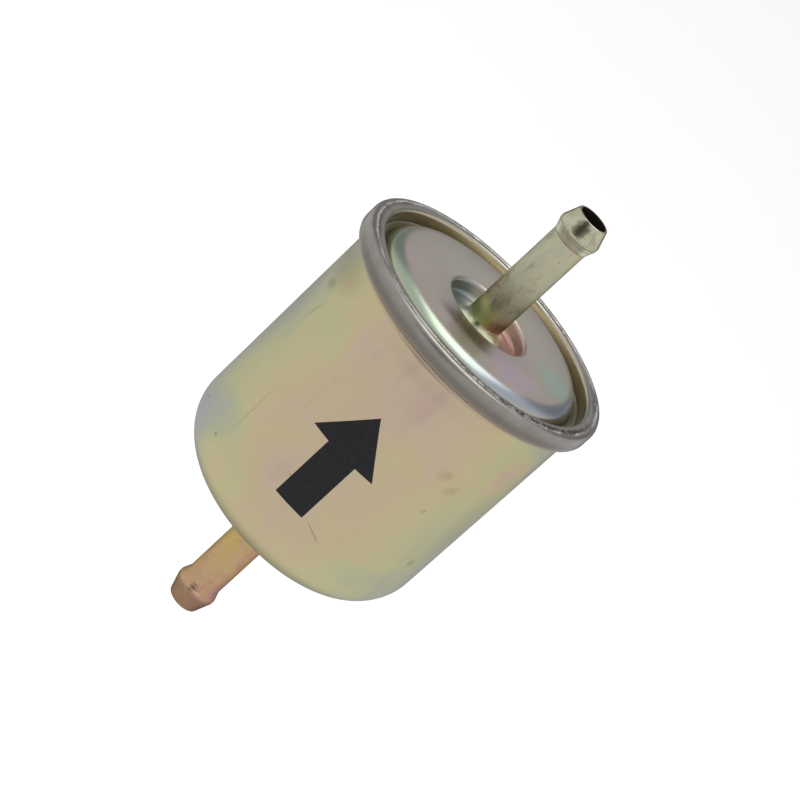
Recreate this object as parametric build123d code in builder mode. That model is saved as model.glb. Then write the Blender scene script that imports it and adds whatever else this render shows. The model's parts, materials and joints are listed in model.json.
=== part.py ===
from build123d import *
from math import cos, degrees, radians, sin
import os

# In-line fuel filter, in millimetres.
# +Z runs along the axis towards the lid. The origin is the middle of the can's straight wall,
# which ends at the bottom corner's bend and at the crease under the seam.

# Sheet-steel housing
sheet = 0.65                # thickness of the can and the lid
half_sheet = sheet / 2
can_r = 28.08               # outside of the can's wall
can_length = 61.3           # top of the rim to the bottom of the can
corner_r = 10.7             # outside of the can's bottom corner
crease_drop = 0.9           # seam's foot to the crease that the seaming roll presses into the can
crease_reach = 0.6          # half height of the crease
crease_depth = 0.22
crease_bend = 0.8

# Double seam round the lid, its depths measured from the top of the rim
seam_r = 30.44
seam_height = 4.4
hook_gap = 0.1              # room above the can's folded edge
body_hook_r = 29.50         # outside of the can's turned-out edge
body_hook_end = 3.1
cover_hook_r = 28.12        # inside of the lid's turned-up edge
cover_hook_end = 1.9
full_bend = 0.49            # share of a fold's width that its bend radius takes
rim_edge_bend = 0.4
compound_end = 2.6

# Lid pressing, its depths measured from the top of the rim
chuck_top_r = 26.76         # inner wall of the rim, top and foot
chuck_foot_r = 26.70
channel_r = 25.0            # inner side of the channel's floor
channel_depth = 3.4
channel_bend = 1.1
panel_r = 23.8              # corner of the raised panel before its bend
panel_bend = 3.3
well_top_r = 9.6
well_foot_r = 9.0
well_depth = 3.1
well_top_bend = 0.6
well_foot_bend = 1.3
rim_groove_r = 28.5         # line that the seaming tool leaves round the rim
rim_groove_width = 0.55
rim_groove_depth = 0.2

# Hose pipes
pipe_r = 4.0
pipe_bore_r = 3.1
pipe_hole_r = 4.02
mouth_r = 3.54
mouth_edge = 0.15
bead_r = 4.75
bead_crest = 0.65           # straight length on top of the bead
bead_back = 2.15            # cone behind the bead
bead_edge = 0.4
outlet_reach = 28.4         # top of the rim to the tip of the outlet pipe
outlet_lead = 3.45          # mouth to bead
inlet_reach = 29.9          # bottom of the can to the tip of the inlet pipe
inlet_lead = 3.9
collar_r = 5.3              # upset collar that stops the pipe inside the housing
collar_height = 0.8
outlet_stub = 11.0          # outlet pipe below the lid, up the element's neck
inlet_stub = 1.6
braze_width = 1.5           # fillet at the foot of a pipe
braze_height = 2.2
braze_waist = 0.36          # how far its hollow face stays from the corner, as a share

# Filter element
pleat_count = 36
paper = 0.45
paper_outer_r = 23.6
paper_inner_r = 9.1
outer_fold = 0.55           # half widths of the folds
inner_fold = 0.40
outer_fold_bend = 0.5
inner_fold_bend = 0.32
cap_sheet = 0.5
cap_r = 25.0
cap_lip = 3.0
cap_bend = 0.6
potting = 1.5
potting_edge = 0.4
neck_r = 6.0                # inside of the upper cap's neck
neck_length = 5.0
tube_r = 8.6
tube_wall = 0.4
tube_hole_r = 1.1
tube_hole_rows = 9
tube_holes_in_row = 8
tube_end_margin = 4.0       # plain stretch at each end of the tube
clip_sheet = 0.3
clip_reach = 2.4
grommet_flange_r = 8.4
grommet_lip_r = 6.9
grommet_lip = 1.2
slip = 0.02                 # room left round a pushed-on piece

# Spring under the element
spring_r = 12.5
spring_wire_r = 0.7
spring_turns = 2.5

# Levels along the axis
crease_height = crease_drop + crease_reach
straight_wall = can_length - seam_height - corner_r - crease_height
seam_bottom_z = straight_wall / 2 + crease_height
crease_z = seam_bottom_z - crease_drop
rim_z = seam_bottom_z + seam_height
can_bottom_z = rim_z - can_length
can_floor_z = can_bottom_z + sheet
body_hook_z = rim_z - sheet - hook_gap
well_z = rim_z - well_depth
well_under_z = well_z - sheet
outlet_tip_z = rim_z + outlet_reach
inlet_tip_z = can_bottom_z - inlet_reach
upper_cap_z = 21.2          # top of the upper end cap
lower_cap_z = -25.3         # underside of the lower end cap
cap_inner_top_z = upper_cap_z - cap_sheet
cap_inner_floor_z = lower_cap_z + cap_sheet
paper_top_z = cap_inner_top_z - potting
paper_bottom_z = cap_inner_floor_z + potting


def sheet_section(corners, bends, thickness):
    """Section of bent sheet whose centre line has these (radius, height) corners."""
    with BuildSketch(Plane.XZ) as section:
        with BuildLine():
            FilletPolyline(*corners, radius=bends)
        trace(line_width=thickness)
    return section.sketch


def pipe_section(way, tip_z, lead, housing_z, stub):
    """Half section of a beaded hose pipe that leaves the housing along way (1 up, -1 down)."""
    crest_z = tip_z - way * lead
    crest_back_z = crest_z - way * bead_crest
    neck_z = crest_back_z - way * bead_back
    collar_z = housing_z - way * collar_height
    stub_z = housing_z - way * stub
    outline = [
        (pipe_bore_r, tip_z, 0),
        (mouth_r, tip_z, mouth_edge),
        (bead_r, crest_z, bead_edge),
        (bead_r, crest_back_z, bead_edge),
        (pipe_r, neck_z, bead_edge),
        (pipe_r, housing_z, 0),
        (collar_r, housing_z, 0),
        (collar_r, collar_z, 0),
        (pipe_r, collar_z, 0),
        (pipe_r, stub_z, 0),
        (pipe_bore_r, stub_z, 0),
    ]
    corners = [(r, z) for r, z, bend in outline]
    bends = [bend for r, z, bend in outline]
    with BuildSketch(Plane.XZ) as section:
        with BuildLine():
            FilletPolyline(*corners, radius=bends, close=True)
        make_face()
    return section.sketch


def braze_section(way, foot_z):
    """Hollow-faced fillet between a pipe and the sheet it stands on."""
    corner = (pipe_r, foot_z)
    on_sheet = (pipe_r + braze_width, foot_z)
    on_pipe = (pipe_r, foot_z + way * braze_height)
    waist = (pipe_r + braze_waist * braze_width, foot_z + way * braze_waist * braze_height)
    with BuildSketch(Plane.XZ) as section:
        with BuildLine():
            Polyline(on_pipe, corner, on_sheet)
            ThreePointArc(on_sheet, waist, on_pipe)
        make_face()
    return section.sketch


def rectangle_section(inner_r, outer_r, low_z, high_z):
    """Rectangular half section of a ring."""
    with BuildSketch(Plane.XZ) as section:
        with BuildLine():
            Polyline((inner_r, low_z), (outer_r, low_z), (outer_r, high_z), (inner_r, high_z), close=True)
        make_face()
    return section.sketch


def potting_section(cap_side_z, paper_side_z):
    """Half section of a potting ring, rounded where it lies in its cap's bend."""
    corners = [
        (tube_r, paper_side_z),
        (cap_r - cap_sheet, paper_side_z),
        (cap_r - cap_sheet, cap_side_z),
        (tube_r, cap_side_z),
    ]
    with BuildSketch(Plane.XZ) as section:
        with BuildLine():
            FilletPolyline(*corners, radius=[0, 0, potting_edge, 0], close=True)
        make_face()
    return section.sketch


def on_circle(radius, turn):
    return (radius * cos(radians(turn)), radius * sin(radians(turn)))


# Can: flat bottom with a pipe hole, rounded corner, straight wall, crease, edge folded out into the seam
with BuildPart() as can:
    wall_line = can_r - half_sheet
    hook_line = body_hook_r - half_sheet
    fold_bend = full_bend * (hook_line - wall_line)
    can_line = [
        (pipe_hole_r, can_bottom_z + half_sheet),
        (wall_line, can_bottom_z + half_sheet),
        (wall_line, crease_z - crease_reach),
        (wall_line - crease_depth, crease_z),
        (wall_line, crease_z + crease_reach),
        (wall_line, body_hook_z - half_sheet),
        (hook_line, body_hook_z - half_sheet),
        (hook_line, rim_z - body_hook_end),
    ]
    can_bends = [corner_r - half_sheet, crease_bend, crease_bend, crease_bend, fold_bend, fold_bend]
    revolve(sheet_section(can_line, can_bends, sheet), axis=Axis.Z)

# Lid: well, raised panel, channel, rim, and the hook tucked up behind the can's fold
with BuildPart() as lid:
    rim_line = seam_r - half_sheet
    tuck_line = cover_hook_r + half_sheet
    tuck_bend = full_bend * (rim_line - tuck_line)
    lid_line = [
        (pipe_hole_r, well_z - half_sheet),
        (well_foot_r + half_sheet, well_z - half_sheet),
        (well_top_r + half_sheet, rim_z - half_sheet),
        (panel_r, rim_z - half_sheet),
        (channel_r - half_sheet, rim_z - channel_depth - half_sheet),
        (chuck_foot_r + half_sheet, rim_z - channel_depth - half_sheet),
        (chuck_top_r + half_sheet, rim_z - half_sheet),
        (rim_line, rim_z - half_sheet),
        (rim_line, seam_bottom_z + half_sheet),
        (tuck_line, seam_bottom_z + half_sheet),
        (tuck_line, rim_z - cover_hook_end),
    ]
    lid_bends = [
        well_foot_bend,
        well_top_bend,
        panel_bend,
        channel_bend,
        channel_bend,
        rim_edge_bend,
        rim_edge_bend,
        tuck_bend,
        tuck_bend,
    ]
    revolve(sheet_section(lid_line, lid_bends, sheet), axis=Axis.Z)
    with BuildSketch(Plane.XZ) as groove:
        with Locations((rim_groove_r, rim_z)):
            Ellipse(rim_groove_width / 2, rim_groove_depth)
    revolve(groove.sketch, axis=Axis.Z, mode=Mode.SUBTRACT)

# Sealing compound between the can's fold and the lid's rim
with BuildPart() as seam_compound:
    fold_r = (can_r - sheet + body_hook_r) / 2
    fold_reach = (body_hook_r - can_r + sheet) / 2
    fold_z = body_hook_z - fold_reach
    fold_top = (fold_r, body_hook_z + slip)
    fold_side = (body_hook_r + slip, fold_z)
    fold_shoulder = (
        fold_r + (fold_reach + slip) * cos(radians(45)),
        fold_z + (fold_reach + slip) * sin(radians(45)),
    )
    rim_inner_r = seam_r - sheet - slip
    rim_under_z = rim_z - sheet - slip
    with BuildSketch(Plane.XZ) as compound_section:
        with BuildLine():
            ThreePointArc(fold_top, fold_shoulder, fold_side)
            Polyline(
                fold_side,
                (body_hook_r + slip, rim_z - compound_end),
                (rim_inner_r, rim_z - compound_end),
                (rim_inner_r, rim_under_z - rim_edge_bend),
                (rim_inner_r - rim_edge_bend, rim_under_z),
                (fold_r, rim_under_z),
                fold_top,
            )
        make_face()
    revolve(compound_section.sketch, axis=Axis.Z)

# Hose pipes, each with its braze fillet
with BuildPart() as outlet_pipe:
    revolve(pipe_section(1, outlet_tip_z, outlet_lead, well_under_z, outlet_stub), axis=Axis.Z)

with BuildPart() as inlet_pipe:
    revolve(pipe_section(-1, inlet_tip_z, inlet_lead, can_floor_z, inlet_stub), axis=Axis.Z)

with BuildPart() as outlet_braze:
    revolve(braze_section(1, well_z), axis=Axis.Z)

with BuildPart() as inlet_braze:
    revolve(braze_section(-1, can_bottom_z), axis=Axis.Z)

# Paper: one pleat, from the middle of one inner fold to the middle of the next, repeated round
with BuildPart() as pleated_paper:
    half_pitch = 180 / pleat_count
    fold_turn = half_pitch - degrees(inner_fold / paper_inner_r)
    inner_corner_r = paper_inner_r / cos(radians(half_pitch - fold_turn))
    pleat_line = [
        on_circle(paper_inner_r, -half_pitch),
        on_circle(inner_corner_r, -fold_turn),
        (paper_outer_r, -outer_fold),
        (paper_outer_r, outer_fold),
        on_circle(inner_corner_r, fold_turn),
        on_circle(paper_inner_r, half_pitch),
    ]
    pleat_bends = [inner_fold_bend, outer_fold_bend, outer_fold_bend, inner_fold_bend]
    with BuildSketch(Plane.XY.offset(paper_bottom_z)) as star:
        with BuildSketch(mode=Mode.PRIVATE) as pleat:
            with BuildLine():
                FilletPolyline(*pleat_line, radius=pleat_bends)
            trace(line_width=paper)
        with PolarLocations(0, pleat_count):
            add(pleat.sketch)
    extrude(amount=paper_top_z - paper_bottom_z)

# Clip that closes the paper's side seam, pinched over one outer fold
with BuildPart() as pleat_clip:
    fold_half = outer_fold + paper / 2 + slip
    fold_face_r = paper_outer_r + paper / 2 + slip
    with BuildSketch(Plane.XY.offset(paper_bottom_z)):
        with Locations((fold_face_r + clip_sheet, 0)):
            Rectangle(clip_reach + clip_sheet, 2 * (fold_half + clip_sheet), align=(Align.MAX, Align.CENTER))
        with Locations((fold_face_r, 0)):
            Rectangle(clip_reach, 2 * fold_half, align=(Align.MAX, Align.CENTER), mode=Mode.SUBTRACT)
    extrude(amount=paper_top_z - paper_bottom_z)

# Perforated tube inside the paper
with BuildPart() as centre_tube:
    tube_section = rectangle_section(tube_r - tube_wall, tube_r, cap_inner_floor_z, cap_inner_top_z)
    revolve(tube_section, axis=Axis.Z)
    first_row_z = cap_inner_floor_z + tube_end_margin
    last_row_z = cap_inner_top_z - tube_end_margin
    row_pitch = (last_row_z - first_row_z) / (tube_hole_rows - 1)
    hole_pitch = 360 / tube_holes_in_row
    for row in range(tube_hole_rows):
        row_turn = hole_pitch / 2 * (row % 2)
        for spoke in range(tube_holes_in_row // 2):
            hole_axis = Plane(
                origin=(0, 0, first_row_z + row * row_pitch),
                z_dir=(*on_circle(1, row_turn + spoke * hole_pitch), 0),
            )
            with BuildSketch(hole_axis):
                Circle(tube_hole_r)
            extrude(amount=2 * tube_r, both=True, mode=Mode.SUBTRACT)

# End caps and the potting that seals the paper to them
with BuildPart() as upper_end_cap:
    half_cap = cap_sheet / 2
    upper_cap_line = [
        (neck_r + half_cap, upper_cap_z - neck_length),
        (neck_r + half_cap, upper_cap_z - half_cap),
        (cap_r - half_cap, upper_cap_z - half_cap),
        (cap_r - half_cap, upper_cap_z - cap_lip),
    ]
    revolve(sheet_section(upper_cap_line, [cap_bend, cap_bend], cap_sheet), axis=Axis.Z)

with BuildPart() as lower_end_cap:
    lower_cap_line = [
        (0, lower_cap_z + half_cap),
        (cap_r - half_cap, lower_cap_z + half_cap),
        (cap_r - half_cap, lower_cap_z + cap_lip),
    ]
    revolve(sheet_section(lower_cap_line, [cap_bend], cap_sheet), axis=Axis.Z)

with BuildPart() as upper_potting:
    revolve(potting_section(cap_inner_top_z, paper_top_z), axis=Axis.Z)

with BuildPart() as lower_potting:
    revolve(potting_section(cap_inner_floor_z, paper_bottom_z), axis=Axis.Z)

# Rubber grommet: a sleeve in the neck, a flange against the pipe's collar, a lip under the neck
with BuildPart() as outlet_grommet:
    neck_end_z = upper_cap_z - neck_length - slip
    collar_under_z = well_under_z - collar_height
    sleeve_r = neck_r - slip
    grommet_line = [
        (pipe_r + slip, collar_under_z),
        (grommet_flange_r, collar_under_z),
        (grommet_flange_r, upper_cap_z + slip),
        (sleeve_r, upper_cap_z + slip),
        (sleeve_r, neck_end_z),
        (grommet_lip_r, neck_end_z),
        (sleeve_r, neck_end_z - grommet_lip),
        (pipe_r + slip, neck_end_z - grommet_lip),
    ]
    grommet_bends = [0, 0, 0, cap_bend + half_cap, 0, 0, 0, 0]
    with BuildSketch(Plane.XZ) as grommet_section:
        with BuildLine():
            FilletPolyline(*grommet_line, radius=grommet_bends, close=True)
        make_face()
    revolve(grommet_section.sketch, axis=Axis.Z)

# Spring with ground ends between the can's floor and the lower end cap
with BuildPart() as support_spring:
    spring_height = lower_cap_z - can_floor_z
    with BuildLine() as coil:
        Helix(
            pitch=spring_height / spring_turns,
            height=spring_height,
            radius=spring_r,
            center=(0, 0, can_floor_z),
        )
    with BuildSketch(coil.line ^ 0):
        Circle(spring_wire_r)
    sweep(path=coil.line, is_frenet=True)
    split(bisect_by=Plane.XY.offset(can_floor_z), keep=Keep.TOP)
    split(bisect_by=Plane.XY.offset(lower_cap_z), keep=Keep.BOTTOM)

pieces = {
    "can": can,
    "lid": lid,
    "seam_compound": seam_compound,
    "outlet_pipe": outlet_pipe,
    "inlet_pipe": inlet_pipe,
    "outlet_braze": outlet_braze,
    "inlet_braze": inlet_braze,
    "pleated_paper": pleated_paper,
    "pleat_clip": pleat_clip,
    "centre_tube": centre_tube,
    "upper_end_cap": upper_end_cap,
    "lower_end_cap": lower_end_cap,
    "upper_potting": upper_potting,
    "lower_potting": lower_potting,
    "outlet_grommet": outlet_grommet,
    "support_spring": support_spring,
}

os.makedirs("parts", exist_ok=True)
for name, piece in pieces.items():
    piece.part.label = name
    export_step(piece.part, f"parts/{name}.step")
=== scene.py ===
import bmesh
import bpy
import json
from math import atan2, cos, exp, hypot, pi, radians, sin, tan
from mathutils import Matrix, Vector, noise


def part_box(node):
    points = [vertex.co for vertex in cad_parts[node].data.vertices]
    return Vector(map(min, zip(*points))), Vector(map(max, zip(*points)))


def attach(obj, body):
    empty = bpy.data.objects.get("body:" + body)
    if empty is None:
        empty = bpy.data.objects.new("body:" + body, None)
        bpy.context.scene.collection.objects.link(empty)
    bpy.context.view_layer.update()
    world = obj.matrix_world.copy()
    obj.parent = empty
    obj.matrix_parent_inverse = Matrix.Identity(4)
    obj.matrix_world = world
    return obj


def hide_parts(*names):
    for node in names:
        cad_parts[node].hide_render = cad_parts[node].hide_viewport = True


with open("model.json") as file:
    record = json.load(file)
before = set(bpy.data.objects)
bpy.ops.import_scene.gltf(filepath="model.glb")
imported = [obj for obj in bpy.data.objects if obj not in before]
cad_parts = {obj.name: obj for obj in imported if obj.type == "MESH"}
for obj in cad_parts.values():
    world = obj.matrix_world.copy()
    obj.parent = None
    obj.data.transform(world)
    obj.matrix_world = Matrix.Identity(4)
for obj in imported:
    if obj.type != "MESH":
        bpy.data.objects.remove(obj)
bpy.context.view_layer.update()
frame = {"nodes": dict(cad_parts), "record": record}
nodes = frame["nodes"]
mm = 0.001
perMetre = 1000          # object coordinates times this are millimetres


def mountSize(name, size):
    mount = next(m for m in frame["record"]["mounts"] if m["name"] == name)
    return mount["dims"][size]


# sizes read from the frame, in millimetres
canR = mountSize("bracket_band", "r_mm")
boreR = mountSize("outlet_bore", "r_mm")
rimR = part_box("lid")[1].x * perMetre
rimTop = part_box("lid")[1].z * perMetre
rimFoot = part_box("lid")[0].z * perMetre
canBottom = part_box("can")[0].z * perMetre
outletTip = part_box("outlet_pipe")[1].z * perMetre
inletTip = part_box("inlet_pipe")[0].z * perMetre
print("frame loaded:", len(nodes), "nodes")


# camera

viewFrom = {
    "aim": (0.24, 0, 2.66),  # mm; the point that the camera looks at
    "distance": 494.9,       # mm
    "elevation": 22.9,       # degrees above the filter's own horizon
    "roll": 47.32,           # degrees that the camera leans, which lays the filter over
    "lens": 113.6,
}


def makeCamera():
    data = bpy.data.cameras.new("camera")
    data.lens = viewFrom["lens"]
    camera = bpy.data.objects.new("camera", data)
    bpy.context.scene.collection.objects.link(camera)
    slope = radians(viewFrom["elevation"])
    back = Vector((0, -cos(slope), sin(slope)))
    camera.location = (Vector(viewFrom["aim"]) + back * viewFrom["distance"]) * mm
    level = Matrix.Rotation(pi / 2 - slope, 3, "X")
    lean = Matrix.Rotation(radians(viewFrom["roll"]), 3, "Z")
    camera.rotation_euler = (level @ lean).to_euler()
    bpy.context.scene.camera = camera


makeCamera()
print("camera placed")


# short ways to lay down shader nodes

def put(tree, kind, inputs=None, **settings):
    node = tree.nodes.new(kind)
    for name, value in settings.items():
        setattr(node, name, value)
    for name, value in (inputs or {}).items():
        if isinstance(value, bpy.types.NodeSocket):
            tree.links.new(value, node.inputs[name])
        else:
            node.inputs[name].default_value = value
    return node


def calc(tree, operation, *values):
    return put(tree, "ShaderNodeMath", dict(enumerate(values)), operation=operation).outputs[0]


def remap(tree, value, low, high, toLow=0.0, toHigh=1.0):
    inputs = {"Value": value, "From Min": low, "From Max": high, "To Min": toLow, "To Max": toHigh}
    return put(tree, "ShaderNodeMapRange", inputs, interpolation_type="SMOOTHSTEP").outputs[0]


def mix(tree, factor, first, second):
    inputs = {0: factor, 6: first, 7: second}
    return put(tree, "ShaderNodeMix", inputs, data_type="RGBA").outputs[2]


def cloud(tree, vector, scale, detail=2.0, roughness=0.5, distortion=0.0):
    inputs = {"Vector": vector, "Scale": scale, "Detail": detail, "Roughness": roughness}
    inputs["Distortion"] = distortion
    return put(tree, "ShaderNodeTexNoise", inputs).outputs["Fac"]


def stretch(tree, vector, scale, turn=(0, 0, 0)):
    inputs = {"Vector": vector, "Rotation": turn, "Scale": scale}
    return put(tree, "ShaderNodeMapping", inputs).outputs[0]


def product(tree, *values):
    made = values[0]
    for value in values[1:]:
        made = calc(tree, "MULTIPLY", made, value)
    return made


def distance(tree, value, place):
    return calc(tree, "ABSOLUTE", calc(tree, "SUBTRACT", value, place))


def colour(red, green, blue):
    linear = [((c / 255 + 0.055) / 1.055) ** 2.4 for c in (red, green, blue)]
    return (*linear, 1)


def ramp(tree, factor, steps):
    node = put(tree, "ShaderNodeValToRGB", {0: factor})
    stops = node.color_ramp.elements
    while len(stops) < len(steps):
        stops.new(1.0)
    for stop, (at, rgb) in zip(stops, steps):
        stop.position = at
        stop.color = colour(*rgb)
    return node.outputs[0]


def newGroup(name, inputs, outputs):
    # an input without a value is a vector, and the others are numbers
    tree = bpy.data.node_groups.new(name, "ShaderNodeTree")
    for label, value in inputs.items():
        kind = "NodeSocketVector" if value is None else "NodeSocketFloat"
        socket = tree.interface.new_socket(name=label, in_out="INPUT", socket_type=kind)
        if value is not None:
            socket.default_value = value
    for label, kind in outputs.items():
        tree.interface.new_socket(name=label, in_out="OUTPUT", socket_type="NodeSocket" + kind)
    return tree, tree.nodes.new("NodeGroupInput").outputs, tree.nodes.new("NodeGroupOutput").inputs


def useGroup(tree, group, inputs):
    return put(tree, "ShaderNodeGroup", inputs, node_tree=group).outputs


# light: a bright white room with one large soft box over the lid

room = {
    "white": (0.985, 0.99, 1.0),
    "strength": 0.98,
    # less bright parts of the room: direction, cosines where they fade out and in, how dark
    "darker": [
        ((0.0, 1.0, -0.12), 0.85, 0.98, 0.82),
        ((0.0, 0.76, 0.65), 0.94, 0.99, 0.5),
        ((-0.17, -0.92, 0.3), 0.93, 0.97, 0.6),
        ((0.0, -0.75, 0.66), 0.86, 0.96, 0.35),
        ((0.42, 0.76, 0.42), 0.9, 0.985, 0.66),
        ((-0.42, 0.76, 0.42), 0.9, 0.985, 0.66),
    ],
}
lamps = {
    "overhead": {"toward": (0.0, 0.2, 1.0), "away": 0.75, "size": (0.43, 0.6), "radiance": 2.3},
}


def makeRoom():
    world = bpy.data.worlds.new("room")
    bpy.context.scene.world = world
    world.use_nodes = True
    tree = world.node_tree
    background = tree.nodes["Background"]
    toward = put(tree, "ShaderNodeTexCoord").outputs["Object"]
    toward = put(tree, "ShaderNodeVectorMath", {0: toward}, operation="NORMALIZE").outputs[0]
    strength = room["strength"]
    for direction, fade, full, dark in room["darker"]:
        inputs = {0: toward, 1: tuple(Vector(direction).normalized())}
        near = put(tree, "ShaderNodeVectorMath", inputs, operation="DOT_PRODUCT").outputs["Value"]
        strength = calc(tree, "MULTIPLY", strength, remap(tree, near, fade, full, 1.0, 1.0 - dark))
    # the darker parts show in the plating, and the room itself stays plain
    eye = put(tree, "ShaderNodeLightPath").outputs["Is Camera Ray"]
    lift = calc(tree, "SUBTRACT", room["strength"], strength)
    strength = calc(tree, "MULTIPLY_ADD", lift, eye, strength)
    background.inputs["Color"].default_value = (*room["white"], 1)
    tree.links.new(strength, background.inputs["Strength"])


def makeLamps():
    for name, lamp in lamps.items():
        data = bpy.data.lights.new(name, "AREA")
        data.shape = "RECTANGLE"
        data.size = lamp["size"][0]
        data.size_y = lamp["size"][1]
        data.energy = lamp["radiance"] * pi * data.size * data.size_y
        box = bpy.data.objects.new(name, data)
        bpy.context.scene.collection.objects.link(box)
        toward = Vector(lamp["toward"]).normalized()
        box.location = toward * lamp["away"]
        box.rotation_euler = toward.to_track_quat("Z", "Y").to_euler()


makeRoom()
makeLamps()
bpy.context.scene.view_settings.view_transform = "Standard"
print("light placed")


# effects that several materials share, each a group that works in millimetres

def makePlaceGroup():
    # where a point lies: millimetres, radius, height, turn from the print's middle, unrolled sheet
    tree, given, wanted = newGroup(
        "placeOnFilter",
        {"Radius": 28.0},
        {"Point": "Vector", "Out": "Float", "Up": "Float", "Turn": "Float", "Sheet": "Vector"},
    )
    point = put(tree, "ShaderNodeTexCoord").outputs["Object"]
    inMm = stretch(tree, point, (perMetre,) * 3)
    parts = put(tree, "ShaderNodeSeparateXYZ", {0: inMm}).outputs
    flat = put(tree, "ShaderNodeCombineXYZ", {0: parts[0], 1: parts[1]}).outputs[0]
    out = put(tree, "ShaderNodeVectorMath", {0: flat}, operation="LENGTH").outputs["Value"]
    front = calc(tree, "MULTIPLY", parts[1], -1.0)
    turn = calc(tree, "ARCTAN2", parts[0], front)
    across = calc(tree, "MULTIPLY", turn, given["Radius"])
    sheet = put(tree, "ShaderNodeCombineXYZ", {0: across, 1: parts[2]}).outputs[0]
    made = {"Point": inMm, "Out": out, "Up": parts[2], "Turn": turn, "Sheet": sheet}
    for name, value in made.items():
        tree.links.new(value, wanted[name])
    return tree


filmColours = [  # from thin to thick chromate
    (0.00, (172, 172, 172)),
    (0.12, (175, 177, 161)),
    (0.26, (183, 184, 151)),
    (0.40, (193, 187, 146)),
    (0.54, (197, 182, 146)),
    (0.68, (197, 178, 156)),
    (0.80, (190, 164, 152)),
    (0.90, (172, 152, 160)),
    (1.00, (152, 158, 168)),
]


def makeFilmGroup():
    # yellow chromate: the film's thickness sets its colour, as on any thin film
    tree, given, wanted = newGroup(
        "chromateFilm",
        {"Film": 0.5, "Depth": 1.0, "Shade": 1.0},
        {"Colour": "Color"},
    )
    plain = ramp(tree, given["Film"], filmColours)
    inputs = {"Color": plain, "Saturation": given["Depth"], "Value": given["Shade"]}
    toned = put(tree, "ShaderNodeHueSaturation", inputs).outputs[0]
    tree.links.new(toned, wanted["Colour"])
    return tree


def makeGrainGroup():
    # rolled sheet under plating: fine orange peel, drawing lines along the axis, hairline scratches
    tree, given, wanted = newGroup(
        "platedGrain",
        {"Point": None, "Lines": 0.5, "Rough": 0.4, "Spread": 0.1, "Scratches": 0.5},
        {"Height": "Float", "Roughness": "Float", "Scratch": "Float"},
    )
    peel = cloud(tree, given["Point"], 2.2, 4.0, 0.6)
    lines = cloud(tree, stretch(tree, given["Point"], (3.5, 3.5, 0.16)), 1.0, 3.0, 0.55)
    patches = cloud(tree, given["Point"], 0.16, 3.0, 0.55)
    tilted = stretch(tree, given["Point"], (0.9, 0.5, 0.05), turn=(0.5, 0.35, 0.2))
    hair = distance(tree, cloud(tree, tilted, 1.6, 1.0, 0.4), 0.5)
    line = remap(tree, hair, 0.0, 0.004, 1.0, 0.0)
    seldom = remap(tree, cloud(tree, given["Point"], 0.11, 1.0, 0.5), 0.52, 0.6)
    scratch = product(tree, line, seldom, given["Scratches"])
    drawn = calc(tree, "MULTIPLY", lines, given["Lines"])
    relief = calc(tree, "ADD", calc(tree, "MULTIPLY", peel, 0.5), drawn)
    relief = calc(tree, "SUBTRACT", relief, scratch)
    uneven = calc(tree, "SUBTRACT", calc(tree, "ADD", patches, calc(tree, "MULTIPLY", lines, 0.4)), 0.7)
    rough = calc(tree, "MULTIPLY_ADD", uneven, given["Spread"], given["Rough"])
    rough = calc(tree, "MULTIPLY_ADD", scratch, 0.15, rough)
    tree.links.new(relief, wanted["Height"])
    tree.links.new(rough, wanted["Roughness"])
    tree.links.new(scratch, wanted["Scratch"])
    return tree


def makeMarkGroup():
    # one smudge, rub or scratch at a place on the unrolled sheet, ragged at its edge
    tree, given, wanted = newGroup(
        "handlingMark",
        {"Sheet": None, "Across": 0.0, "Up": 0.0, "Long": 3.0, "Wide": 1.0, "Turn": 0.0, "Ragged": 0.5},
        {"Mark": "Float"},
    )
    place = put(tree, "ShaderNodeCombineXYZ", {0: given["Across"], 1: given["Up"]}).outputs[0]
    spin = put(tree, "ShaderNodeCombineXYZ", {2: given["Turn"]}).outputs[0]
    size = put(tree, "ShaderNodeCombineXYZ", {0: given["Long"], 1: given["Wide"], 2: 1.0}).outputs[0]
    local = put(
        tree,
        "ShaderNodeMapping",
        {"Vector": given["Sheet"], "Location": place, "Rotation": spin, "Scale": size},
        vector_type="TEXTURE",
    ).outputs[0]
    torn = cloud(tree, given["Sheet"], 1.2, 3.0, 0.6)
    reach = put(tree, "ShaderNodeVectorMath", {0: local}, operation="LENGTH").outputs["Value"]
    shift = calc(tree, "MULTIPLY", calc(tree, "SUBTRACT", torn, 0.5), given["Ragged"])
    reach = calc(tree, "MULTIPLY_ADD", shift, 3.0, reach)
    mark = remap(tree, reach, 0.25, 1.0, 1.0, 0.0)
    tree.links.new(mark, wanted["Mark"])
    return tree


def makeSpeckGroup():
    # sparse dark specks
    tree, given, wanted = newGroup(
        "platingSpecks", {"Point": None, "Spacing": 4.0, "Size": 0.12}, {"Speck": "Float"}
    )
    density = calc(tree, "DIVIDE", 1.0, given["Spacing"])
    cells = put(
        tree, "ShaderNodeTexVoronoi", {"Vector": given["Point"], "Scale": density, "Randomness": 1.0}
    )
    chance = put(tree, "ShaderNodeSeparateColor", {0: cells.outputs["Color"]}).outputs
    size = calc(tree, "MULTIPLY", given["Size"], chance[0])
    near = calc(tree, "SUBTRACT", size, cells.outputs["Distance"])
    dot = remap(tree, near, 0.0, 0.03)
    some = calc(tree, "GREATER_THAN", chance[1], 0.62)
    tree.links.new(calc(tree, "MULTIPLY", dot, some), wanted["Speck"])
    return tree


placeGroup = makePlaceGroup()
filmGroup = makeFilmGroup()
grainGroup = makeGrainGroup()
markGroup = makeMarkGroup()
speckGroup = makeSpeckGroup()
print("shared effects made")


def markAt(tree, sheet, across, up, long, wide, turn=0.0, ragged=0.5):
    inputs = {"Sheet": sheet, "Across": across, "Up": up, "Long": long, "Wide": wide}
    inputs.update({"Turn": turn, "Ragged": ragged})
    return useGroup(tree, markGroup, inputs)["Mark"]


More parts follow.
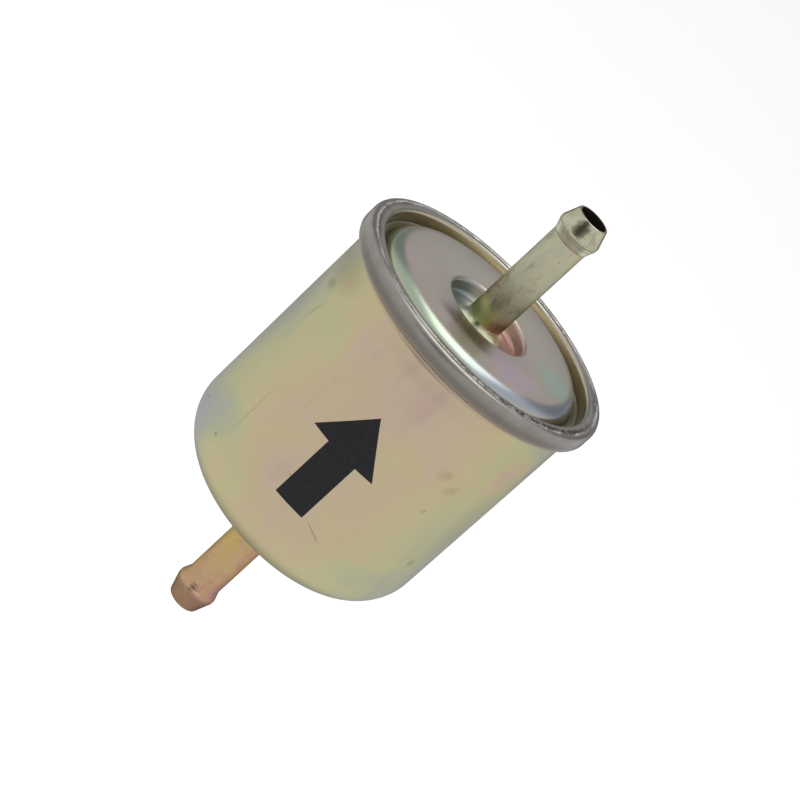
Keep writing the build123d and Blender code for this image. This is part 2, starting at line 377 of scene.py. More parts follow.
def newMaterial(name):
    material = bpy.data.materials.new(name)
    material.use_nodes = True
    tree = material.node_tree
    tree.nodes.clear()
    surface = put(tree, "ShaderNodeBsdfPrincipled")
    put(tree, "ShaderNodeOutputMaterial", {"Surface": surface.outputs[0]})
    return material, tree, surface


def finishMetal(tree, surface, tone, rough, height, metallic=1.0, relief=0.06, step=0.05):
    bump = put(
        tree, "ShaderNodeBump", {"Strength": relief, "Distance": step * mm, "Height": height}
    ).outputs[0]
    for name, value in (("Base Color", tone), ("Roughness", rough), ("Normal", bump)):
        tree.links.new(value, surface.inputs[name])
    if isinstance(metallic, bpy.types.NodeSocket):
        tree.links.new(metallic, surface.inputs["Metallic"])
    else:
        surface.inputs["Metallic"].default_value = metallic


canFinish = {
    "frontSheenFilm": 0.66,       # chromate where the can faces front or back
    "sideSheenFilm": 0.06,
    "lowFilm": -0.15,        # change towards the bottom corner
    "wander": 0.42,          # how far the film strays in clouds and in streaks
    "streaks": 0.32,
    "rough": 0.4,
    "grazing": (222, 221, 220),  # tint of what the film mirrors at a grazing angle
    "corner": 0.36,          # how much painted shade darkens the drawn bottom corner
    "cornerShadeTone": (98, 84, 58),
    "shadePatchTone": (96, 84, 76),
    # tone of dirt and marks, and of the painted shade under the seam
    "dirtAndShadeTone": (108, 88, 66),
    "scratchTone": (214, 210, 200),
    "specks": {"Spacing": 2.6, "Size": 0.07},
    "clouds": [              # across, up, long, wide, turn, change of film
        (-25.0, -20.0, 15.0, 8.0, 0.4, -0.24),
        (-19.0, 11.0, 9.0, 6.5, -0.6, -0.18),
        (31.0, 14.0, 6.0, 8.0, 0.0, 0.3),
        (21.0, -21.0, 12.0, 5.0, 0.2, -0.13),
        (-3.0, 17.0, 15.0, 8.0, 0.1, 0.06),
        (-8.0, -14.0, 9.0, 6.0, 0.8, 0.07),
        (8.0, 6.0, 8.0, 6.0, 0.4, -0.08),
        (62.0, 4.0, 12.0, 15.0, 0.0, -0.2),
        (-66.0, -8.0, 10.0, 12.0, 0.4, -0.2),
    ],
    "shadePatches": [                # across, up, long, wide, turn, strength: soft grey-brown patches, mostly painted shade under the seam and down both sides
        (-31.0, 19.0, 12.0, 6.0, 0.1, 0.26),
        (1.0, 20.5, 16.0, 2.6, 0.0, 0.08),
        (-36.0, 4.0, 6.0, 16.0, 0.05, 0.12),
        (34.0, -2.0, 5.0, 18.0, 0.0, 0.12),
        (80.0, 12.0, 12.0, 6.0, 0.0, 0.18),
    ],
    "marks": [               # across, up, long, wide, turn, strength, on the unrolled wall
        (-30.5, 14.2, 2.8, 1.7, 0.2, 0.3),
        (-27.5, 9.0, 4.0, 0.5, 1.3, 0.22),
        (17.6, 8.6, 2.3, 1.6, 0.2, 0.2),
        (21.5, 6.2, 2.2, 1.5, 0.5, 0.18),
        (20.5, -0.5, 0.8, 0.5, 0.5, 0.3),
        (7.6, -17.6, 3.6, 0.22, -0.45, 0.5),
        (-3.4, -12.4, 1.5, 0.2, -0.35, 0.4),
        (-18.8, -11.0, 0.3, 10.0, 0.03, 0.2),
        (-11.0, 2.0, 0.25, 12.0, -0.04, 0.1),
        (-20.8, -21.6, 0.7, 0.4, 0.3, 0.5),
        (-33.0, -22.0, 1.1, 0.3, 0.4, 0.45),
        (30.5, -13.5, 1.3, 1.5, 0.5, 0.28),
        (70.0, 8.0, 4.0, 2.0, 0.7, 0.3),
        (-75.0, -6.0, 5.0, 1.6, 0.3, 0.26),
    ],
}


def makeCanMaterial():
    material, tree, surface = newMaterial("chromatedCan")
    place = useGroup(tree, placeGroup, {"Radius": canR})
    point = place["Point"]
    parts = put(tree, "ShaderNodeSeparateXYZ", {0: point}).outputs
    # painted sheen and shade: the film is set by how far the wall faces front or back, standing in for
    # the colour and light that change towards the outline
    facing = calc(tree, "ABSOLUTE", calc(tree, "DIVIDE", parts[1], canR))
    span = canFinish["frontSheenFilm"] - canFinish["sideSheenFilm"]
    film = calc(tree, "MULTIPLY_ADD", calc(tree, "POWER", facing, 1.2), span, canFinish["sideSheenFilm"])
    low = remap(tree, place["Up"], -10.0, -30.0)
    film = calc(tree, "MULTIPLY_ADD", low, canFinish["lowFilm"], film)
    drift = calc(tree, "SUBTRACT", cloud(tree, point, 0.055, 3.0, 0.5, 0.4), 0.5)
    streak = cloud(tree, stretch(tree, point, (0.34, 0.34, 0.03)), 1.0, 3.0, 0.5)
    film = calc(tree, "MULTIPLY_ADD", drift, canFinish["wander"], film)
    film = calc(tree, "MULTIPLY_ADD", calc(tree, "SUBTRACT", streak, 0.5), canFinish["streaks"], film)
    for *where, change in canFinish["clouds"]:
        mark = markAt(tree, place["Sheet"], *where, ragged=0.0)
        film = calc(tree, "MULTIPLY_ADD", mark, change, film)
    tone = useGroup(tree, filmGroup, {"Film": film, "Depth": 1.0})["Colour"]
    # painted shade: soft darker patches under the seam and towards the outline
    for *where, strength in canFinish["shadePatches"]:
        patchShade = calc(tree, "MULTIPLY", markAt(tree, place["Sheet"], *where, ragged=0.0), strength)
        tone = mix(tree, patchShade, tone, colour(*canFinish["shadePatchTone"]))
    grain = useGroup(tree, grainGroup, {"Point": point, "Rough": canFinish["rough"]})
    darkening = useGroup(tree, speckGroup, {"Point": point, **canFinish["specks"]})["Speck"]
    darkening = calc(tree, "MULTIPLY", darkening, 0.35)
    for *where, strength in canFinish["marks"]:
        mark = calc(tree, "MULTIPLY", markAt(tree, place["Sheet"], *where), strength)
        darkening = calc(tree, "MAXIMUM", darkening, mark)
    # painted shade: the wall is darkened just under the seam, together with the dirt and the marks
    shadeUnderRim = remap(tree, place["Up"], rimFoot - 1.6, rimFoot)
    darkening = calc(tree, "MAXIMUM", darkening, calc(tree, "MULTIPLY", shadeUnderRim, 0.5))
    tone = mix(tree, darkening, tone, colour(*canFinish["dirtAndShadeTone"]))
    scratched = calc(tree, "MULTIPLY", grain["Scratch"], 0.3)
    tone = mix(tree, scratched, tone, colour(*canFinish["scratchTone"]))
    # painted shade: the bottom corner is darkened, standing in for the darker floor that it mirrors
    drawn = remap(tree, place["Up"], canBottom + 6.0, canBottom + 2.6, 0.0, canFinish["corner"])
    tone = mix(tree, drawn, tone, colour(*canFinish["cornerShadeTone"]))
    rough = calc(tree, "MULTIPLY_ADD", darkening, 0.12, grain["Roughness"])
    finishMetal(tree, surface, tone, rough, grain["Height"])
    surface.inputs["Specular Tint"].default_value = colour(*canFinish["grazing"])
    return material


lidFinish = {
    "sheen": [               # colours that wander over the panel
        (0.0, (168, 186, 174)),
        (0.28, (180, 177, 162)),
        (0.5, (184, 174, 165)),
        (0.7, (194, 175, 178)),
        (0.86, (182, 172, 184)),
        (1.0, (170, 182, 184)),
    ],
    "shoulderLeft": (154, 166, 148),
    "shoulderRight": (152, 156, 166),
    "sheenPatches": [        # x, y, half width, change
        (11.0, -13.0, 9.0, 0.3),
        (18.5, 1.0, 8.0, -0.5),
        (15.5, -9.0, 3.5, 0.25),
        (-9.0, 15.0, 9.0, -0.12),
        (-4.0, -18.0, 5.0, 0.2),
    ],
    "rimGrey": (148, 146, 141),
    "rimWarm": (138, 132, 125),
    "rimBeltShade": (114, 106, 98),
    "rimFootShade": (140, 130, 117),
    "wornEdgeAndHighlight": (226, 224, 218),
    "pitTone": (50, 43, 38),
    "wellDark": (88, 104, 110),
    "channelShade": (62, 58, 44),
    "fleckTone": (204, 190, 178),
    "scratchTone": (200, 196, 190),
    "wellEdge": (9.3, 10.2),     # radii over which one surface's finish gives way to the next
    "shoulderEdge": (21.6, 22.6),
    "rimEdge": (26.6, 27.4),
    "grooveR": 28.5,
    "ridgeR": 29.0,
    "stampR": 13.2,          # where the press tool has left its marks beside the well
    "stampTurn": -0.08,
    "stampTone": (96, 76, 66),
}


def makeLidMaterial():
    material, tree, surface = newMaterial("pressedLid")
    place = useGroup(tree, placeGroup, {"Radius": rimR})
    point, out, up, turn = (place[name] for name in ("Point", "Out", "Up", "Turn"))
    parts = put(tree, "ShaderNodeSeparateXYZ", {0: point}).outputs
    # the film's colours wander over the panel
    drift = calc(tree, "SUBTRACT", cloud(tree, point, 0.09, 2.0, 0.45, 0.3), 0.5)
    plan = put(tree, "ShaderNodeCombineXYZ", {0: parts[0], 1: parts[1]}).outputs[0]
    sheenAt = calc(tree, "MULTIPLY_ADD", drift, 0.7, 0.45)
    for x, y, half, change in lidFinish["sheenPatches"]:
        patch = markAt(tree, plan, x, y, half, half, ragged=0.0)
        sheenAt = calc(tree, "MULTIPLY_ADD", patch, change, sheenAt)
    sheen = ramp(tree, sheenAt, lidFinish["sheen"])
    # well: thin film on one side, thick on the other
    across = remap(tree, parts[0], -1.5, 5.5)
    wellFilm = calc(tree, "MULTIPLY_ADD", across, 0.62, 0.2)
    wellDepth = calc(tree, "MULTIPLY_ADD", across, 0.85, 0.5)
    well = useGroup(tree, filmGroup, {"Film": wellFilm, "Depth": wellDepth, "Shade": 0.95})["Colour"]
    shaded = remap(tree, parts[0], -3.5, -7.5, 0.0, 0.75)
    well = mix(tree, shaded, well, colour(*lidFinish["wellDark"]))
    plate = mix(tree, remap(tree, out, *lidFinish["wellEdge"]), well, sheen)
    # shoulder, then the channel with a thicker film
    streaks = calc(tree, "SUBTRACT", cloud(tree, point, 0.2, 3.0, 0.5), 0.5)
    channelFilm = calc(tree, "MULTIPLY_ADD", streaks, 0.3, 0.42)
    channel = useGroup(tree, filmGroup, {"Film": channelFilm, "Depth": 0.9, "Shade": 0.9})["Colour"]
    side = remap(tree, parts[0], -8.0, 18.0)
    left, right = (colour(*lidFinish[name]) for name in ("shoulderLeft", "shoulderRight"))
    shoulderTone = mix(tree, side, left, right)
    deep = remap(tree, up, rimTop - 0.9, rimTop - 2.2)
    channel = mix(tree, deep, shoulderTone, channel)
    behindPipe = remap(tree, parts[1], -2.0, 12.0)
    farFilm = calc(tree, "ADD", channelFilm, 0.1)
    farWall = useGroup(tree, filmGroup, {"Film": farFilm, "Depth": 0.75, "Shade": 0.86})["Colour"]
    channel = mix(tree, behindPipe, channel, farWall)
    floorOfChannel = calc(tree, "MULTIPLY", remap(tree, up, rimTop - 2.1, rimTop - 3.1), 0.6)
    channel = mix(tree, floorOfChannel, channel, colour(*lidFinish["channelShade"]))
    shoulder = remap(tree, out, *lidFinish["shoulderEdge"])
    plate = mix(tree, shoulder, plate, channel)
    grain = useGroup(tree, grainGroup, {"Point": point, "Rough": 0.34, "Lines": 0.1, "Scratches": 0.7})
    # the seam has lost its film to the rolls, which leave fine rings
    onRim = remap(tree, out, *lidFinish["rimEdge"])
    section = put(tree, "ShaderNodeCombineXYZ", {0: out, 1: up}).outputs[0]
    rings = cloud(tree, section, 5.0, 3.0, 0.7)
    blotches = calc(tree, "MULTIPLY", cloud(tree, point, 0.3, 4.0, 0.6), 0.5)
    spread = remap(tree, calc(tree, "MULTIPLY_ADD", rings, 0.5, blotches), 0.36, 0.64)
    grey = mix(tree, spread, colour(*lidFinish["rimGrey"]), colour(*lidFinish["rimWarm"]))
    # painted shade on the seam's wall: a dark belt across its middle and a darker, warmer band at its
    # foot
    belt = remap(tree, up, rimTop - 1.2, rimTop - 2.7)
    grey = mix(tree, calc(tree, "MULTIPLY", belt, 0.75), grey, colour(*lidFinish["rimBeltShade"]))
    low = remap(tree, up, rimFoot + 1.3, rimFoot + 0.4)
    grey = mix(tree, calc(tree, "MULTIPLY", low, 0.8), grey, colour(*lidFinish["rimFootShade"]))
    tone = mix(tree, onRim, plate, grey)
    # a bright ridge beside the groove, partly worn metal and partly a painted highlight on the seam's
    # outer bend, and dark pits in the groove
    top = remap(tree, up, rimTop - 0.6, rimTop - 0.2)
    sway = calc(tree, "SUBTRACT", cloud(tree, point, 0.35, 3.0, 0.6), 0.5)
    ridgeAt = calc(tree, "MULTIPLY_ADD", sway, 1.1, lidFinish["ridgeR"])
    ridgeWearAndHighlight = remap(tree, distance(tree, out, ridgeAt), 0.05, 0.42, 1.0, 0.0)
    patchy = remap(tree, cloud(tree, point, 0.22, 4.0, 0.7), 0.38, 0.52)
    ridgeWearAndHighlight = product(tree, ridgeWearAndHighlight, top, patchy)
    tone = mix(tree, calc(tree, "MULTIPLY", ridgeWearAndHighlight, 0.85), tone, colour(*lidFinish["wornEdgeAndHighlight"]))
    grooveAt = calc(tree, "MULTIPLY_ADD", sway, -0.7, lidFinish["grooveR"])
    inGroove = remap(tree, distance(tree, out, grooveAt), 0.3, 0.95, 1.0, 0.0)
    crumbs = remap(tree, cloud(tree, point, 0.95, 4.0, 0.75), 0.45, 0.53)
    most = remap(tree, distance(tree, turn, 0.75), 0.5, 0.9, 1.0, 0.0)
    some = remap(tree, cloud(tree, point, 0.07, 1.0, 0.5), 0.44, 0.56)
    places = calc(tree, "MAXIMUM", most, calc(tree, "MULTIPLY", some, 0.45))
    pit = product(tree, inGroove, top, crumbs, places)
    tone = mix(tree, calc(tree, "MULTIPLY", pit, 0.9), tone, colour(*lidFinish["pitTone"]))
    # tool marks beside the well
    acrossStamp = remap(tree, distance(tree, out, lidFinish["stampR"]), 1.2, 4.4, 1.0, 0.0)
    alongStamp = remap(tree, distance(tree, turn, lidFinish["stampTurn"]), 0.2, 0.62, 1.0, 0.0)
    stampArea = calc(tree, "MULTIPLY", acrossStamp, alongStamp)
    crumpled = cloud(tree, point, 0.7, 4.0, 0.65)
    stamp = calc(tree, "MULTIPLY", stampArea, remap(tree, crumpled, 0.2, 0.44))
    tone = mix(tree, calc(tree, "MULTIPLY", stamp, 0.86), tone, colour(*lidFinish["stampTone"]))
    fleck = calc(tree, "MULTIPLY", stampArea, remap(tree, cloud(tree, point, 1.4, 3.0, 0.6), 0.6, 0.68))
    tone = mix(tree, calc(tree, "MULTIPLY", fleck, 0.7), tone, colour(*lidFinish["fleckTone"]))
    scratched = calc(tree, "MULTIPLY", grain["Scratch"], 0.3)
    tone = mix(tree, scratched, tone, colour(*lidFinish["scratchTone"]))
    rough = calc(tree, "MULTIPLY_ADD", onRim, 0.04, grain["Roughness"])
    rough = calc(tree, "MULTIPLY_ADD", shoulder, -0.06, rough)
    height = calc(tree, "MULTIPLY_ADD", calc(tree, "MULTIPLY", rings, onRim), 1.5, grain["Height"])
    height = calc(tree, "SUBTRACT", height, calc(tree, "MULTIPLY", pit, 3.0))
    height = calc(tree, "SUBTRACT", height, calc(tree, "MULTIPLY", stamp, 1.2))
    finishMetal(tree, surface, tone, rough, height)
    return material


# the dark mark and the fold line are marks: across, up, long, wide, turn, ragged, and the dark mark's
# strength; the outlet's dark mark is a painted reflection on the lead cone, the inlet's fold line a
# painted highlight
pipeFinishes = {
    "outlet": {
        "base": 0.4,         # thickness of the film at the foot, and at the tip
        "tip": 0.34,
        "wander": 0.95,      # how far the streaks move it
        "aside": 0.02,       # how far it drifts from one side of the pipe to the other
        "depth": 0.72,
        "shade": 0.95,
        "rough": 0.3,
        "leadRough": 0.17,   # roughness of the lead cone
        "grazing": (192, 192, 188),
        "darkMark": (-0.1, 54.9, 2.3, 2.5, 0.0, 0.35, 0.8),
        "creaseShadeLines": (50.5, 51.9, 52.6),
        "footShade": 0.42,       # how much painted shade darkens the pipe at its foot
        "footBand": (31.0, (204, 208, 140), (150, 126, 100)),  # height, left and right tones
        "backHighlight": 0.6,
        "beadDarkening": 0.0,      # how much darker the bead is
        "foldLine": None,
    },
    "inlet": {
        "base": 0.57,
        "tip": 0.8,
        "wander": 0.55,
        "aside": 0.06,
        "depth": 1.55,
        "shade": 0.93,
        "rough": 0.34,
        "leadRough": 0.32,
        "grazing": (162, 162, 148),
        "darkMark": (-0.1, -57.3, 1.3, 0.2, 0.0, 0.05, 0.8),
        "creaseShadeLines": (),
        "footShade": 0.12,
        "footBand": None,
        "backHighlight": 0.0,
        "beadDarkening": 0.4,
        "foldLine": (0.4, -57.6, 2.6, 0.13, 0.0, 0.12),
    },
}
pipeTones = {
    # tone of dirt, smears and dark marks, and of the painted shade and painted reflection on the pipes
    "darkening": (64, 56, 44),
    "backHighlight": (240, 238, 218),
    "fold": (240, 208, 188),
    "boreShade": (30, 21, 17),
}


def makePipeMaterial(name, finish, foot, tip):
    material, tree, surface = newMaterial(name)
    place = useGroup(tree, placeGroup, {"Radius": 4.0})
    point, up = place["Point"], place["Up"]
    fromFoot = distance(tree, up, foot)
    along = remap(tree, fromFoot, 0.0, abs(tip - foot), finish["base"], finish["tip"])
    streaks = cloud(tree, stretch(tree, point, (0.38, 0.38, 0.11)), 1.0, 4.0, 0.6, 0.4)
    film = calc(tree, "MULTIPLY_ADD", calc(tree, "SUBTRACT", streaks, 0.5), finish["wander"], along)
    parts = put(tree, "ShaderNodeSeparateXYZ", {0: point}).outputs
    film = calc(tree, "MULTIPLY_ADD", calc(tree, "DIVIDE", parts[0], 4.0), finish["aside"], film)
    inputs = {"Film": film, "Depth": finish["depth"], "Shade": finish["shade"]}
    tone = useGroup(tree, filmGroup, inputs)["Colour"]
    # painted highlight: the back of the bead is lightened as if it caught more of the room
    fromTip = distance(tree, up, tip)
    onBack = remap(tree, fromTip, 5.9, 6.3, 1.0, 0.0)
    glow = product(tree, remap(tree, fromTip, 4.1, 4.4), onBack, finish["backHighlight"])
    tone = mix(tree, glow, tone, colour(*pipeTones["backHighlight"]))
    grain = useGroup(tree, grainGroup, {"Point": point, "Rough": finish["rough"], "Scratches": 0.8})
    darkening = useGroup(tree, speckGroup, {"Point": point, "Spacing": 1.8, "Size": 0.1})["Speck"]
    # handling leaves dark smears, more of them near the foot, and painted shade darkens the pipe near
    # its foot
    tilted = stretch(tree, point, (0.5, 0.5, 0.24), turn=(0.3, 0.2, 0.0))
    smearAndFootShade = remap(tree, cloud(tree, tilted, 1.0, 4.0, 0.65, 0.6), 0.5, 0.72)
    nearFoot = remap(tree, fromFoot, 2.0, 10.5, 1.0, 0.0)
    smearAndFootShade = calc(tree, "MULTIPLY", smearAndFootShade, calc(tree, "MULTIPLY_ADD", nearFoot, 0.5, 0.3))
    smearAndFootShade = calc(tree, "MULTIPLY_ADD", nearFoot, finish["footShade"], smearAndFootShade)
    *where, strength = finish["darkMark"]
    outside = remap(tree, place["Out"], boreR + 0.15, boreR + 0.35)
    darkMark = product(tree, markAt(tree, place["Sheet"], *where), strength, outside)
    # painted shade: thin dark lines where the outlet's bead meets the pipe and at its crest
    for level in finish["creaseShadeLines"]:
        creaseShade = remap(tree, distance(tree, up, level), 0.02, 0.14, 0.55, 0.0)
        darkMark = calc(tree, "MAXIMUM", darkMark, creaseShade)
    dark = calc(tree, "MAXIMUM", calc(tree, "MULTIPLY", darkening, 0.6), smearAndFootShade)
    dark = calc(tree, "MAXIMUM", dark, darkMark)
    onBead = remap(tree, fromTip, 4.2, 5.0, 1.0, 0.0)
    dark = calc(tree, "MAXIMUM", dark, calc(tree, "MULTIPLY", onBead, finish["beadDarkening"]))
    # the dark tone covers specks, smears and dark marks, with the painted shade at the foot and in the
    # creases and the painted reflection on the lead cone
    tone = mix(tree, dark, tone, colour(*pipeTones["darkening"]))
    # painted highlight: a thin bright line beside the dark mark on the inlet's bead
    if finish["foldLine"]:
        fold = markAt(tree, place["Sheet"], *finish["foldLine"])
        tone = mix(tree, product(tree, fold, outside, 0.7), tone, colour(*pipeTones["fold"]))
    if finish["footBand"]:
        level, left, right = finish["footBand"]
        edge = calc(tree, "MULTIPLY_ADD", cloud(tree, point, 0.45, 3.0, 0.6), 5.0, level - 2.6)
        below = remap(tree, calc(tree, "SUBTRACT", up, edge), -1.3, 1.5, 1.0, 0.0)
        bandTone = mix(tree, remap(tree, parts[0], -0.5, 3.0), colour(*left), colour(*right))
        tone = mix(tree, calc(tree, "MULTIPLY", below, 0.7), tone, bandTone)
    # painted shade: the inside of the bore is painted near black and not metallic
    inside = remap(tree, place["Out"], boreR + 0.03, boreR + 0.2, 1.0, 0.0)
    tone = mix(tree, inside, tone, colour(*pipeTones["boreShade"]))
    lead = remap(tree, fromTip, 3.3, 3.6, finish["leadRough"] - finish["rough"], 0.0)
    rough = calc(tree, "ADD", grain["Roughness"], lead)
    rough = calc(tree, "MULTIPLY_ADD", inside, 0.3, rough)
    rough = calc(tree, "MULTIPLY_ADD", dark, 0.1, rough)
    metalOutsideBore = calc(tree, "SUBTRACT", 1.0, inside)
    finishMetal(tree, surface, tone, rough, grain["Height"], metallic=metalOutsideBore)
    surface.inputs["Specular Tint"].default_value = colour(*finish["grazing"])
    return material


brazeFinish = {
    "bright": (228, 228, 206),
    "green": (200, 208, 158),
    "pit": (64, 62, 38),
    "pitHole": (-0.7, 26.7, 1.15, 1.15, 0.72),  # across, up, long, wide, strength
}


def makeBrazeMaterial():
    material, tree, surface = newMaterial("platedBraze")
    place = useGroup(tree, placeGroup, {"Radius": 5.0})
    flow = cloud(tree, place["Point"], 0.7, 4.0, 0.6, 0.5)
    greenish = remap(tree, flow, 0.35, 0.65)
    tone = mix(tree, greenish, colour(*brazeFinish["bright"]), colour(*brazeFinish["green"]))
    *where, strength = brazeFinish["pitHole"]
    pitHole = calc(tree, "MULTIPLY", markAt(tree, place["Sheet"], *where), strength)
    tone = mix(tree, pitHole, tone, colour(*brazeFinish["pit"]))
    grain = useGroup(tree, grainGroup, {"Point": place["Point"], "Rough": 0.34, "Lines": 0.0})
    height = calc(tree, "MULTIPLY_ADD", flow, 3.0, grain["Height"])
    finishMetal(tree, surface, tone, grain["Roughness"], height, relief=0.3)
    return material


inkFinish = {"full": (20, 18, 22), "thin": (34, 31, 34)}


def makeInkMaterial():
    material, tree, surface = newMaterial("printInk")
    place = useGroup(tree, placeGroup, {"Radius": canR})
    thin = remap(tree, cloud(tree, place["Point"], 1.1, 4.0, 0.7), 0.45, 0.75)
    tone = mix(tree, thin, colour(*inkFinish["full"]), colour(*inkFinish["thin"]))
    rough = calc(tree, "MULTIPLY_ADD", thin, 0.15, 0.38)
    grain = useGroup(tree, grainGroup, {"Point": place["Point"]})
    finishMetal(tree, surface, tone, rough, grain["Height"], metallic=0.0)
    surface.inputs["Specular IOR Level"].default_value = 0.25
    return material


innerFinishes = {  # node: two tones, clouds per millimetre, roughness, metallic
    "filter_paper": ((206, 188, 140), (188, 166, 116), 1.5, 0.9, 0.0),
    "bare_steel": ((176, 178, 180), (150, 152, 156), 0.4, 0.32, 1.0),
    "potting": ((138, 70, 44), (112, 54, 34), 0.5, 0.5, 0.0),
    "rubber": ((30, 30, 30), (42, 41, 40), 1.2, 0.7, 0.0),
    "spring_steel": ((116, 114, 112), (92, 88, 84), 0.8, 0.35, 1.0),
    "sealing_compound": ((40, 40, 36), (58, 56, 50), 0.9, 0.8, 0.0),
}


def makeInnerMaterial(name, first, second, scale, rough, metallic):
    material, tree, surface = newMaterial(name)
    place = useGroup(tree, placeGroup, {"Radius": 10.0})
    blend = cloud(tree, place["Point"], scale, 4.0, 0.6)
    tone = mix(tree, remap(tree, blend, 0.35, 0.65), colour(*first), colour(*second))
    uneven = calc(tree, "MULTIPLY_ADD", blend, 0.15, rough - 0.07)
    grain = useGroup(tree, grainGroup, {"Point": place["Point"]})
    height = calc(tree, "MULTIPLY_ADD", blend, 2.0, grain["Height"])
    finishMetal(tree, surface, tone, uneven, height, metallic=metallic, relief=0.2)
    return material


materials = {
    "can_plate": makeCanMaterial(),
    "lid_plate": makeLidMaterial(),
    "outlet_plate": makePipeMaterial("outletPlate", pipeFinishes["outlet"], rimTop, outletTip),
    "inlet_plate": makePipeMaterial("inletPlate", pipeFinishes["inlet"], canBottom, inletTip),
    "braze": makeBrazeMaterial(),
    "print_ink": makeInkMaterial(),
}
for name, finish in innerFinishes.items():
    materials[name] = makeInnerMaterial(name, *finish)
print("materials made:", len(materials))

slotOf = {part["node"]: part["material_slot"] for part in frame["record"]["subparts"]}
for name, node in nodes.items():
    node.data.materials.clear()
    node.data.materials.append(materials[slotOf[name]])
print("frame nodes painted")


def keepPiece(bm, name, slotName):
    mesh = bpy.data.meshes.new(name)
    bm.to_mesh(mesh)
    bm.free()
    mesh.shade_smooth()
    mesh.materials.append(materials[slotName])
    piece = bpy.data.objects.new(name, mesh)
    bpy.context.scene.collection.objects.link(piece)
    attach(piece, "root")
    return piece


# lid: the pressed sheet with the small faults that the press and the seaming rolls leave

lidShape = {
    "sheet": 0.65,
    "steps": 512,
    # radius, depth below the top of the rim, bend radius of the outer face
    "line": [
        (4.02, 3.1, 0),
        (9.0, 3.1, 1.0),
        (9.6, 0.0, 0.9),
        (23.8, 0.0, 3.6),
        (25.0, 3.4, 0.8),
        (26.7, 3.4, 0.7),
        (26.76, 0.0, 0.75),
        (28.25, 0.0, 0.1),
        (28.5, 0.2, 0.15),
        (28.75, 0.0, 0.1),
        (30.44, 0.0, 1.14),
        (30.44, 4.4, 1.1),
        (28.14, 4.4, 1.1),
        (28.14, 2.2, 0),
    ],
    "bendSteps": 5,
}


def roundCorner(bm, corner, bend, steps):
    ways = [(edge.other_vert(corner).co - corner.co).normalized() for edge in corner.link_edges]
    turn = pi - ways[0].angle(ways[1])
    bmesh.ops.bevel(
        bm,
        geom=[corner],
        offset=bend * tan(turn / 2),
        offset_type="OFFSET",
        segments=steps,
        profile=0.5,
        affect="VERTICES",
        material=-1,
    )


def spinLine(line, bendSteps, steps, topZ):
    bm = bmesh.new()
    corners = [bm.verts.new((r * mm, 0, (topZ - depth) * mm)) for r, depth, bend in line]
    for first, second in zip(corners, corners[1:]):
        bm.edges.new((first, second))
    for corner, (r, depth, bend) in zip(corners, line):
        if bend:
            roundCorner(bm, corner, bend * mm, bendSteps)
    bmesh.ops.spin(
        bm,
        geom=bm.verts[:] + bm.edges[:],
        axis=(0, 0, 1),
        cent=(0, 0, 0),
        dvec=(0, 0, 0),
        angle=2 * pi,
        steps=steps,
        use_merge=True,
        use_duplicate=False,
    )
    bmesh.ops.remove_doubles(bm, verts=bm.verts, dist=0.002 * mm)
    return bm


def ease(value, low, high):
    share = min(max((value - low) / (high - low), 0), 1)
    return share * share * (3 - 2 * share)


def dentLid(bm):
    for vert in bm.verts:
        point = vert.co * perMetre
        out = hypot(point.x, point.y)
        turn = atan2(point.x, -point.y)
        depth = rimTop - point.z
        rough = noise.noise(point * 1.3)
        slow = noise.noise(point * 0.16)
        # roll chatter on the seam's wall
        wall = ease(out, 29.9, 30.3)
        inward = wall * (0.05 + 0.05 * slow + 0.02 * rough)
        # torn metal along the groove
        nearGroove = exp(-((out - 28.5) / 0.35) ** 2) * ease(depth, 1.0, 0.3)
        drop = nearGroove * max(rough, 0) * ease(slow, -0.15, 0.25) * 0.3
        # marks of the press tool beside the well
        offStamp = (out - lidFinish["stampR"]) / 1.9
        offTurn = (turn - lidFinish["stampTurn"]) / 0.5
        stamp = exp(-offStamp ** 2) * exp(-offTurn ** 2)
        drop += stamp * abs(noise.noise(point * 1.7)) * 0.28
        # the panel isn't quite flat
        drop += ease(out, 10.5, 13) * ease(out, 21, 18) * 0.05 * (1 + slow)
        point.z -= drop
        scale = (out - inward) / out
        vert.co = Vector((point.x * scale, point.y * scale, point.z)) * mm


def makeLid():
    bm = spinLine(lidShape["line"], lidShape["bendSteps"], lidShape["steps"], rimTop)
    bmesh.ops.recalc_face_normals(bm, faces=bm.faces)
    highest = max(bm.faces, key=lambda face: face.calc_center_median().z)
    if highest.normal.z < 0:
        bmesh.ops.reverse_faces(bm, faces=bm.faces)
    dentLid(bm)
    lid = keepPiece(bm, "pressed_lid", "lid_plate")
    wall = lid.modifiers.new("sheet", "SOLIDIFY")
    wall.thickness = lidShape["sheet"] * mm
    wall.offset = -1
    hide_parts("lid")


makeLid()
print("lid pressed")


# print: a plain flow arrow, black, pointing to the outlet

arrowShape = {
    "middle": (0.4, -3.8),   # across and up on the unrolled wall, mm
    "length": 26.0,
    "head": 11.0,
    "headWidth": 16.0,
    "shaftWidth": 7.2,
    "ink": 0.012,
    "cuts": 0.8,             # mm between the cuts that let it wrap round the can
}


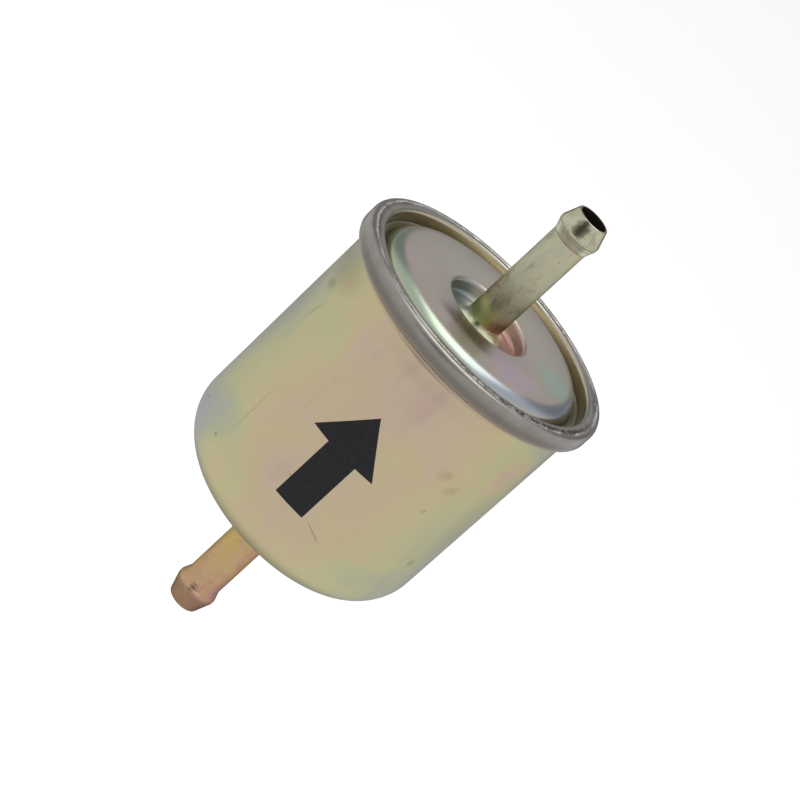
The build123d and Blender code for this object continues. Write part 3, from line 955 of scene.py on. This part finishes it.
def makeArrow():
    half = arrowShape["length"] / 2
    neck = half - arrowShape["head"]
    headHalf = arrowShape["headWidth"] / 2
    shaftHalf = arrowShape["shaftWidth"] / 2
    outline = [
        (-shaftHalf, -half),
        (shaftHalf, -half),
        (shaftHalf, neck),
        (headHalf, neck),
        (0, half),
        (-headHalf, neck),
        (-shaftHalf, neck),
    ]
    bm = bmesh.new()
    bm.faces.new([bm.verts.new((across * mm, 0, up * mm)) for across, up in outline])
    cut = -headHalf
    while cut < headHalf:
        everything = bm.verts[:] + bm.edges[:] + bm.faces[:]
        bmesh.ops.bisect_plane(bm, geom=everything, plane_co=(cut * mm, 0, 0), plane_no=(1, 0, 0))
        cut += arrowShape["cuts"]
    bmesh.ops.triangulate(bm, faces=bm.faces)
    side = bmesh.ops.extrude_face_region(bm, geom=bm.faces[:])["geom"]
    for vert in side:
        if isinstance(vert, bmesh.types.BMVert):
            vert.co.y -= arrowShape["ink"] * mm
    for vert in bm.verts:
        across = vert.co.x * perMetre + arrowShape["middle"][0]
        up = vert.co.z * perMetre + arrowShape["middle"][1]
        out = canR + 0.002 - vert.co.y * perMetre
        turn = across / canR
        vert.co = Vector((out * sin(turn), -out * cos(turn), up)) * mm
    bmesh.ops.recalc_face_normals(bm, faces=bm.faces)
    keepPiece(bm, "flow_arrow", "print_ink").data.shade_flat()


makeArrow()
print("arrow printed")


# floor

floorShape = {
    "half": 5.0,             # metres from the middle to an edge
    "drop": 150.0,           # mm below the inlet's tip
    "tone": (247, 247, 247),
    "cloudTone": (251, 251, 251),
    "dimTone": (92, 88, 80),
    "glow": 0.16,
}


def makeFloor():
    material, tree, surface = newMaterial("paperFloor")
    point = put(tree, "ShaderNodeTexCoord").outputs["Object"]
    tones = {name: colour(*floorShape[name]) for name in ("tone", "cloudTone", "dimTone")}
    paper = mix(tree, cloud(tree, point, 3.0), tones["tone"], tones["cloudTone"])
    # the plating mirrors a dimmer floor far behind the filter, which gives its outline a dark edge
    parts = put(tree, "ShaderNodeSeparateXYZ", {0: point}).outputs
    aside = calc(tree, "ABSOLUTE", parts[0])
    behind = calc(tree, "SUBTRACT", parts[1], calc(tree, "MULTIPLY", aside, 1.6))
    dim = mix(tree, remap(tree, behind, -0.04, 0.26), paper, tones["dimTone"])
    eye = put(tree, "ShaderNodeLightPath").outputs["Is Camera Ray"]
    tree.links.new(mix(tree, eye, dim, paper), surface.inputs["Base Color"])
    surface.inputs["Roughness"].default_value = 0.9
    surface.inputs["Specular IOR Level"].default_value = 0.1
    tree.links.new(mix(tree, eye, (0, 0, 0, 1), (1, 1, 1, 1)), surface.inputs["Emission Color"])
    surface.inputs["Emission Strength"].default_value = floorShape["glow"]
    bm = bmesh.new()
    bmesh.ops.create_grid(bm, x_segments=1, y_segments=1, size=floorShape["half"])
    bmesh.ops.translate(bm, verts=bm.verts, vec=(0, 0, (inletTip - floorShape["drop"]) * mm))
    mesh = bpy.data.meshes.new("floor")
    bm.to_mesh(mesh)
    bm.free()
    mesh.materials.append(material)
    floor = bpy.data.objects.new("floor", mesh)
    bpy.context.scene.collection.objects.link(floor)


makeFloor()
print("floor laid")
